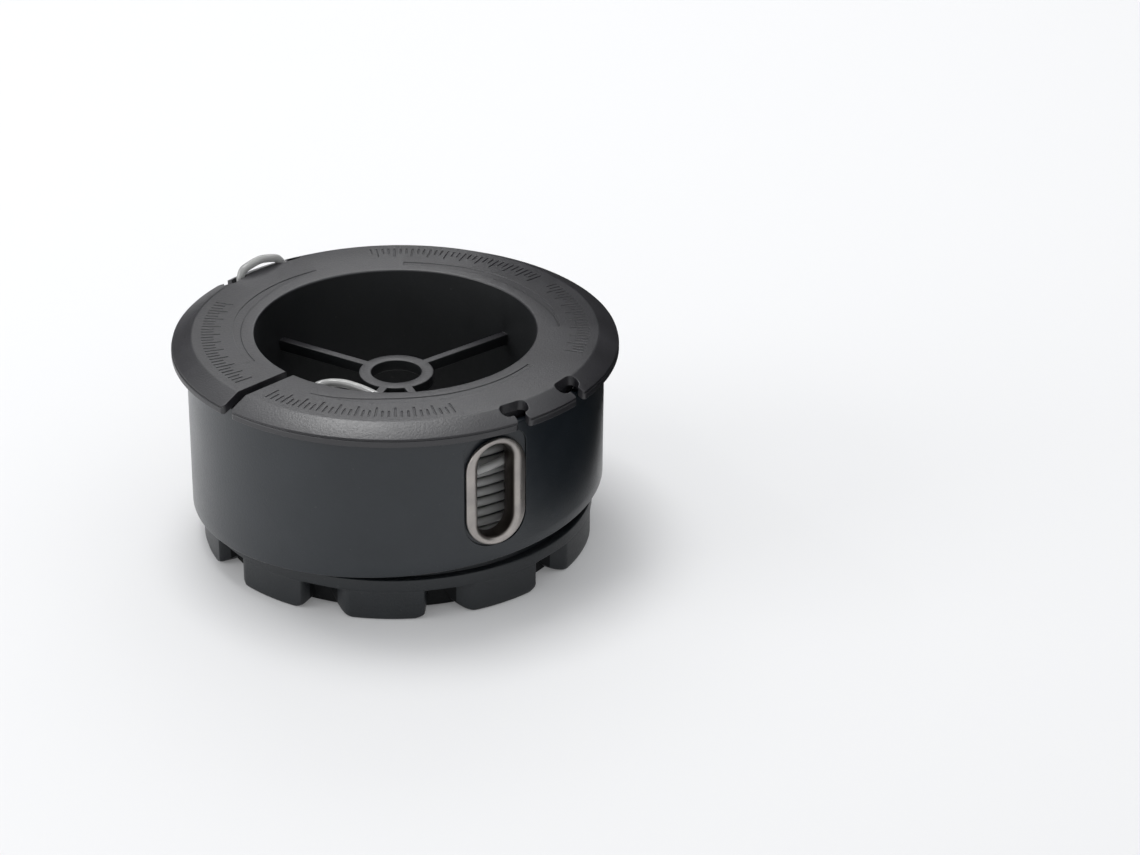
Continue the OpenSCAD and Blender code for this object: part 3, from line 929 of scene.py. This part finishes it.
def wound_line():
    """The outer layer and its parked end, as one unbroken line."""
    part = (WIND_START_AZ - WIND_END_AZ) / 360
    pitch = (WIND_TOP - WIND_FOOT) / (WIND_LOOPS + part)
    step = 5
    path = [around(az, r, BASE_TOP + z) for az, r, z in spline(ENTRY, 3)[:-1]]
    sweep = int(360 * (WIND_LOOPS + part))
    for turn in range(0, sweep, step):
        ends = smooth_step(turn / WIND_FADE) * smooth_step((sweep - turn) / WIND_FADE)
        z = WIND_FOOT + turn / 360 * pitch + ends * sway(turn, amount=0.16, seed=1.7)
        r = WIND_R + WIND_LIFT + ends * sway(turn, amount=0.12, seed=5.1)
        path.append(around(WIND_START_AZ - turn, r, z))
    path += [around(az, r, REEL_H - d) for az, r, d in spline(PARKED, 6)]
    return tube("wound_line", path, LINE_D)


def inner_layers():
    """The layer under the outer one, which climbs the other way, over a solid core."""
    low = BASE_TOP + 1.0
    high = REEL_H - FLANGE_T - 2.0
    r = CORE_R - LINE_D / 2 - INNER_SINK
    path = []
    for turn in range(0, 360 * INNER_LOOPS + 1, 6):
        z = low + (high - low) * turn / (360 * INNER_LOOPS)
        path.append(around(INNER_AZ + turn, r + sway(turn, amount=0.05, seed=9.3),
                           z + sway(turn, amount=0.15, seed=3.3)))
    line = tube("inner_layers", path, LINE_D, 10)
    core_in = HUB_R + FIT_GAP
    core_out = CORE_R - LINE_D - 0.1
    core_foot = BASE_TOP + FIT_GAP
    core_top = REEL_H - FLANGE_T - 1
    core = revolve("core", [Vector(p) for p in (
        (core_in, core_foot), (core_out, core_foot), (core_out, core_top), (core_in, core_top))],
        120)
    return merge([line, core])


def anchor_line():
    """The line's inner end, bowed from hole to hole inside the bore."""
    return tube("anchor_line", [around(az, r, REEL_H - d) for az, r, d in spline(ANCHORED, 6)],
                LINE_D)


# ---------------------------------------------------------------- stage

def camera():
    """The photograph's view of the reel."""
    pitch = math.radians(VIEW_PITCH)
    roll = math.radians(VIEW_ROLL)
    right = Vector((1, 0, 0))
    up = Vector((0, math.sin(pitch), math.cos(pitch)))
    ahead = Vector((0, math.cos(pitch), -math.sin(pitch)))
    x = math.cos(roll) * right + math.sin(roll) * up
    y = -math.sin(roll) * right + math.cos(roll) * up
    place = Vector((0, 0, REEL_H)) - VIEW_ASIDE * x - VIEW_ABOVE * y - VIEW_AWAY * ahead
    data = bpy.data.cameras.new("camera")
    data.sensor_width = SENSOR
    data.lens = FOCAL_PIXELS / FRAME_PIXELS * SENSOR
    data.clip_start = 0.01
    data.clip_end = 50
    cam = bpy.data.objects.new("camera", data)
    turn = Matrix((x, y, -ahead)).transposed().to_4x4()
    cam.matrix_world = Matrix.Translation(place * MM) @ turn
    bpy.context.scene.collection.objects.link(cam)
    bpy.context.scene.camera = cam


def lamp(name, place, target, size, power):
    """A white soft box that faces its target."""
    data = bpy.data.lights.new(name, "AREA")
    data.shape = "RECTANGLE"
    data.size, data.size_y = size
    data.energy = power
    obj = bpy.data.objects.new(name, data)
    obj.location = place
    obj.rotation_euler = (Vector(target) - Vector(place)).to_track_quat("-Z", "Y").to_euler()
    bpy.context.scene.collection.objects.link(obj)


def seen(tree):
    """1 for the rays that show the background: straight, mirrored or through glass. Else 0."""
    path = tree.nodes.new("ShaderNodeLightPath")
    out = path.outputs["Is Camera Ray"]
    for name in ("Is Glossy Ray", "Is Transmission Ray"):
        either = tree.nodes.new("ShaderNodeMath")
        either.operation = "MAXIMUM"
        tree.links.new(out, either.inputs[0])
        tree.links.new(path.outputs[name], either.inputs[1])
        out = either.outputs[0]
    return out


def level(tree, share, low, high):
    """A value that goes from low to high as the share goes from 0 to 1."""
    m = tree.nodes.new("ShaderNodeMapRange")
    m.inputs["To Min"].default_value = low
    m.inputs["To Max"].default_value = high
    tree.links.new(share, m.inputs["Value"])
    return m.outputs["Result"]


def panel(name, corners):
    """A flat four-cornered part of the stage."""
    mesh = bpy.data.meshes.new(name)
    mesh.from_pydata(corners, [], [(0, 1, 2, 3)])
    obj = bpy.data.objects.new(name, mesh)
    bpy.context.scene.collection.objects.link(obj)
    return obj


def floor():
    """A pale floor, lit like the reel, with a faint glow of its own that keeps its shadows pale."""
    s = FLOOR_REACH
    obj = panel("floor", [(-s, -s, 0), (s, -s, 0), (s, s, 0), (-s, s, 0)])
    shade = Shader("floor_white")
    tint = shade.blend(shade.noise(scale=3.0), *FLOOR_TONES)
    shade.join(tint, shade.bsdf.inputs["Base Color"])
    shade.bsdf.inputs["Roughness"].default_value = 0.7
    shade.bsdf.inputs["Specular IOR Level"].default_value = 0.1
    glow = shade.add("ShaderNodeEmission")
    glow.inputs["Color"].default_value = (*GLOW_TONE, 1)
    mix = shade.add("ShaderNodeMixShader")
    shade.join(level(shade.tree, seen(shade.tree), 0, FLOOR_GLOW), mix.inputs["Fac"])
    shade.join(shade.bsdf.outputs["BSDF"], mix.inputs[1])
    shade.join(glow.outputs["Emission"], mix.inputs[2])
    shade.join(mix.outputs["Shader"], shade.tree.nodes["Material Output"].inputs["Surface"])
    obj.data.materials.append(shade.material)


def flag(name, az, width, far, foot, top, material):
    """A black card, as a studio sets up to darken what gloss mirrors. It is seen in mirrors and
    gloss alone, and casts no shadow."""
    middle = around(az, far, 0)
    aside = around(az + 90, width / 2, 0)
    low = Vector((0, 0, foot))
    high = Vector((0, 0, top))
    obj = panel(name, [middle - aside + low, middle + aside + low,
                       middle + aside + high, middle - aside + high])
    obj.data.materials.append(material)
    obj.visible_camera = False
    obj.visible_diffuse = False
    obj.visible_transmission = False
    obj.visible_shadow = False


def world():
    """A pale world: a plain level of light, and brighter where it is seen."""
    pale = bpy.data.worlds.new("world")
    bpy.context.scene.world = pale
    pale.use_nodes = True
    back = pale.node_tree.nodes["Background"]
    back.inputs["Color"].default_value = (*WORLD_TONE, 1)
    strength = level(pale.node_tree, seen(pale.node_tree), WORLD_LIGHT, WORLD_SEEN)
    pale.node_tree.links.new(strength, back.inputs["Strength"])


def stage():
    """The floor, the world, the black cards and the lamps."""
    floor()
    world()
    black = Shader("flag_black")
    black.bsdf.inputs["Base Color"].default_value = (*FLAG_TONE, 1)
    black.bsdf.inputs["Roughness"].default_value = 0.9
    for card in FLAGS:
        flag(*card, black.material)
    for box in LAMPS:
        lamp(*box)


def dress():
    """Makes every piece, with its material, on its body and in its node's place."""
    reel_plastic = plastic("reel_plastic", REEL_TONES, gloss=0.7, grain=0.00008)
    # Painted shade in the bore: a darker copy of the plastic for its upright walls
    bore_shade_plastic = plastic("bore_shade_plastic", BORE_SHADE_TONES, 0.4, DULL_ROUGH, DULL_GRAIN)
    # Painted shade between the teeth: a darker copy of the plastic for the recess walls
    recess_shade_plastic = plastic("recess_shade_plastic", RECESS_SHADE_TONES, 0.15, DULL_ROUGH, DULL_GRAIN)
    base_plastic = plastic("base_plastic", BASE_TONES, gloss=0.5)
    guard_plastic = plastic("guard_plastic", GUARD_TONES, gloss=0.42, rough=(0.29, 0.4), coat=0.32)
    line = nylon("line_nylon", LINE_TONES)
    # Painted shade: the inner layers and core are the same nylon, in a darker copy
    shaded_inner_line = nylon("shaded_inner_nylon", INNER_LINE_SHADE_TONES)
    metal = steel("eyelet_steel")
    hub = settle(engrave(reel()), "reel", "reel_body", reel_plastic)
    shade_deep_faces(hub, BORE_WALL_R, BORE_WALL_TOP, bore_shade_plastic)
    toothed = settle(base(), "reel", "toothed_base", base_plastic)
    shade_deep_faces(toothed, RECESS_R, RECESS_TOP, recess_shade_plastic)
    settle(guard(), "guard", "line_guard", guard_plastic)
    settle(eyelet(), "guard", "eyelet", metal, sharp=50)
    settle(wound_line(), "reel", "line_winding", line, sharp=60)
    settle(inner_layers(), "reel", "line_core", shaded_inner_line, sharp=60)
    settle(anchor_line(), "reel", "line_anchor", line, sharp=60)


bpy.context.scene.view_settings.view_transform = "Standard"
camera()
stage()
dress()
